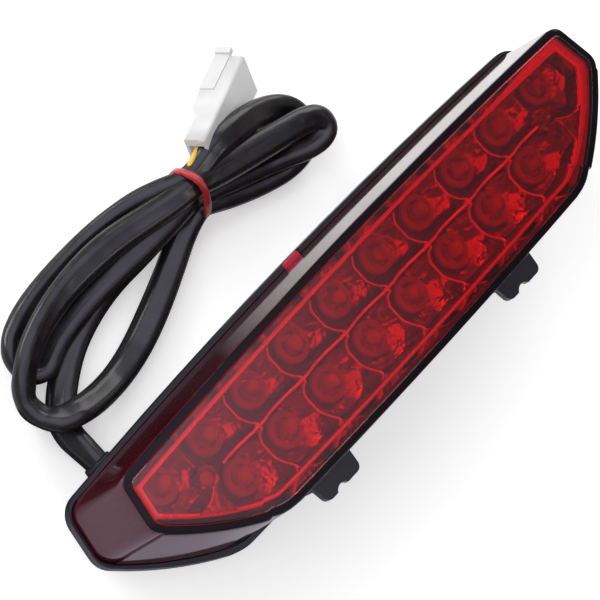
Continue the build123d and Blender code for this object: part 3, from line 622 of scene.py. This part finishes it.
def tray_mesh():
    """The cups as one relief, the crests between them, and the border lip."""
    bm = bmesh.new()
    columns, rows = round(2 * GRID_X / GRID_STEP), round((GRID_Y[1] - GRID_Y[0]) / GRID_STEP)
    grid = []
    for j in range(rows + 1):
        y = GRID_Y[0] + j * GRID_STEP
        line = []
        for i in range(columns + 1):
            x = -GRID_X + i * GRID_STEP
            edge = GRID_X - max(0.0, LENS_Y + 2.6 - y) * CUT_SLOPE
            inside = abs(x) < edge
            line.append(bm.verts.new(Vector((x, y, cup_height(x, y))) * MM) if inside else None)
        grid.append(line)
    for low, high in zip(grid, grid[1:]):
        for i in range(columns):
            corners = (low[i], low[i + 1], high[i + 1], high[i])
            if all(corners):
                bm.faces.new(corners)
    # rolled crests: between neighbouring cups, and the ridge between the rows, in the crest material with its
    # painted glint
    for i in range(COLUMNS + 1):
        x = (i - COLUMNS / 2) * PITCH
        if abs(x) < SCREW_X - 4:
            bead(bm, crest((x, MID_Y - 0.4), (x, MID_Y - 15.5)), 0.34)
            bead(bm, crest((x, MID_Y + 0.4), (x, MID_Y + 13.2)), 0.28)
    bead(bm, crest((-SCREW_X + 4.5, MID_Y), (SCREW_X - 4.5, MID_Y), 320), 0.42)
    # the border: a flat lip with rounded edges, widest at the right end, and a skirt down to the cups; the
    # lip's top and outer edge take the crest material with its painted glint
    rings = [ring(FRONT, z, inset, True) for z, inset in ((38.0, 6.4), (43.6, 6.1), (44.2, 5.9), (44.4, 5.6))]
    for z, inset in ((44.4, 0.0), (44.2, -0.3), (43.0, -0.35), (41.6, 0.3)):
        wide = ring(FRONT, z, inset + WIDE_LIP, True)
        slim = ring(FRONT, z, inset + SLIM_LIP, True)
        shares = [min(1, max(0, (p.x / MM - LIP_WIDENS_X) / LIP_WIDENS_RUN)) for p in wide]
        rings.append([thin.lerp(broad, share) for thin, broad, share in zip(slim, wide, shares)])
    skin(bm, rings, [0, 0, 0, 1, 1, 1, 1])
    return meshed(bm, "tray_skin", 80)


tray = piece("tray_skin", tray_mesh(), mirror_shade, "metallised", "reflector")
tray.data.materials.append(crest_glint_shade.mat)


def lathe(bm, profile, x, y, turns=40):
    """A turned shape about a vertical axis; the profile is (radius, height) pairs."""
    rings = []
    angles = [2 * pi * k / turns for k in range(turns)]
    for radius, height in profile:
        rings.append([Vector((x + radius * cos(a), y + radius * sin(a), height)) * MM for a in angles])
    return skin(bm, rings)


def turned(name, profile, places):
    """One mesh of the same turned shape at every place."""
    bm = bmesh.new()
    for x, y in places:
        lathe(bm, profile, x, y)
    return meshed(bm, name, 40)


COLLAR = [(5.4, 33.0), (5.4, 34.9), (5.25, 35.2), (4.9, 35.35),
          (3.7, 35.3), (3.5, 35.1), (3.4, 34.6), (3.4, 33.0)]
piece("collar_rings", turned("collar_rings", COLLAR, LAMPS), collar_shade, "white_collar", "led_collars")
LED_R = 2.5
DOME_Z = 38.0
DOME = [(2.9, 32.6), (2.9, 33.5), (2.55, 33.6), (LED_R, 33.8), (LED_R, DOME_Z)]
DOME += [(LED_R * cos(a * pi / 18), DOME_Z + LED_R * sin(a * pi / 18)) for a in range(1, 9)]
DOME += [(0.02, DOME_Z + LED_R)]
for row, name in ((UPPER, "upper"), (LOWER, "lower")):
    piece(f"{name}_domes", turned(f"{name}_domes", DOME, row), led_shade, "led_epoxy", f"{name}_leds")


# ---------------------------------------------------------------- fluted side optics
OPTIC_IN, OPTIC_OUT = 3.3, 2.55  # distances from the lens's outside to its two faces
FLUTE_H, FLUTE_PITCH = 0.32, 1.2


def optic_mesh(side):
    """A plate beside the lens's end wall with upright flutes on its inner face."""
    bm = bmesh.new()
    low_y, high_y = LENS_Y + 3.6, LENS_Y + 16.8
    count = 132
    places = [low_y + (high_y - low_y) * k / count for k in range(count + 1)]
    rings = []
    for z in [18.6 + 0.8 * k for k in range(30)]:
        shape = lens_side(z)
        (tx, ty), (sx, sy) = shape["top"], shape["side"]
        walls = [(sx + (tx - sx) * (y - LENS_Y - sy) / (ty - sy), y) for y in places]
        face = [Vector((side * (x - OPTIC_IN - FLUTE_H * cos(2 * pi * y / FLUTE_PITCH)), y, z)) * MM
                for x, y in walls]
        rear = [Vector((side * (x - OPTIC_OUT), y, z)) * MM for x, y in reversed(walls)]
        rings.append(face + rear)
    made = skin(bm, rings)
    bm.faces.new(made[0])
    bm.faces.new(reversed(made[-1]))
    return meshed(bm, "optic", 60)


for side, hand in ((-1, "left"), (1, "right")):
    piece(f"fluted_optic_{hand}", optic_mesh(side), optic_shade, "optic_clear", f"side_optic_{hand}")


# ---------------------------------------------------------------- floor, lights, world
floor_mesh = bpy.data.meshes.new("floor")
bm = bmesh.new()
bmesh.ops.create_grid(bm, x_segments=1, y_segments=1, size=6)
bm.to_mesh(floor_mesh)
bm.free()
floor = bpy.data.objects.new("floor", floor_mesh)
scene.collection.objects.link(floor)
floor_shade = Shade("floor_pale", (0.90, 0.90, 0.90), 0.9,
                    Emission_Color=(1, 1, 1, 1), Emission_Strength=0.45)
floor_shade.rough(floor_shade.ranged(floor_shade.noise(20), 0.85, 0.95))
floor_mesh.materials.append(floor_shade.mat)


def softbox(name, place, aim, size, radiance, up=Vector((0, 0, 1))):
    """A rectangular light that faces aim and looks as bright as radiance."""
    data = bpy.data.lights.new(name, "AREA")
    data.shape = "RECTANGLE"
    data.size, data.size_y = size
    data.energy = radiance * pi * size[0] * size[1]
    obj = bpy.data.objects.new(name, data)
    scene.collection.objects.link(obj)
    obj.matrix_world = aimed(Vector(place), Vector(aim), up)
    return obj


world = bpy.data.worlds.new("studio")
scene.world = world
world.use_nodes = True
world.node_tree.nodes["Background"].inputs["Color"].default_value = (1, 1, 1, 1)
world.node_tree.nodes["Background"].inputs["Strength"].default_value = 0.22
left = softbox("left", (-0.75, 0.65, 0.95), (0.0, 0.0, 0.0), (1.3, 1.1), 2.0)
left.visible_glossy = False
softbox("right", (1.1, 0.6, 0.65), (0.0, 0.0, 0.0), (1.0, 0.9), 2.6)
softbox("front", (0.35, -1.0, 0.75), (0.0, 0.0, 0.0), (0.6, 0.6), 3.5)
softbox("rear", (-0.1, 1.1, 0.5), (0.0, 0.05, 0.0), (0.8, 0.4), 6.0)


def card(name, low, high, z, shade):
    """A flat card between two corners at height z that only shows in gloss."""
    mesh = bpy.data.meshes.new(name)
    mesh.from_pydata([(low[0], low[1], z), (high[0], low[1], z), (high[0], high[1], z), (low[0], high[1], z)],
                     [], [(0, 1, 2, 3)])
    mesh.materials.append(shade.mat)
    obj = bpy.data.objects.new(name, mesh)
    scene.collection.objects.link(obj)
    obj.visible_camera = False
    obj.visible_diffuse = False
    obj.visible_shadow = False


def product(shade, first, second):
    """The two values multiplied."""
    times = shade.node("ShaderNodeMath", operation="MULTIPLY")
    shade.link(first, times.inputs[0])
    shade.link(second, times.inputs[1])
    return times.outputs["Value"]


# a soft-edged lavender haze over the left half, strongest on the upper row
haze = Shade("haze_card", (0, 0, 0), 1.0, Emission_Color=(0.84, 0.81, 1.0, 1))
haze_fade = product(haze, haze.ranged(haze.axis("X"), 1.8, 0.35, 0.22, 0.44),
                    haze.ranged(haze.axis("Y"), 0.55, 1.0, -0.15, -0.06))
haze.link(haze_fade, haze.bsdf.inputs["Emission Strength"])
card("haze_card", (-0.35, -0.5), (0.85, 0.7), 0.70, haze)
# a dark flag on the floor behind the left half, and a pale grey one round the left end; both show only in
# gloss: the dark one is painted shade in the reflection along the left of the lens's top wall, the grey one
# is a painted dim lavender reflection in the left end wall
dark = Shade("dark_painted_shade_flag", (0.012, 0.010, 0.014), 0.9)
dark_fade = product(dark, dark.ranged(dark.axis("X"), 1.0, 0.0, -0.03, 0.032),
                    dark.ranged(dark.axis("X"), 0.0, 1.0, -0.12, -0.10))
dark.link(dark_fade, dark.bsdf.inputs["Alpha"])
card("dark_painted_shade_flag", (-0.12, 0.021), (0.05, 0.051), 0.0006, dark)
# the pale grey flag paints a dim lavender reflection into the left end wall
grey = Shade("grey_painted_shade_flag", (0.80, 0.74, 0.90), 0.9)
grey.link(grey.ranged(grey.axis("X"), 1.0, 0.0, -0.08, 0.0), grey.bsdf.inputs["Alpha"])
card("grey_painted_shade_flag", (-0.36, -0.16), (0.0, 0.14), 0.0004, grey)
scene.view_settings.view_transform = "Standard"
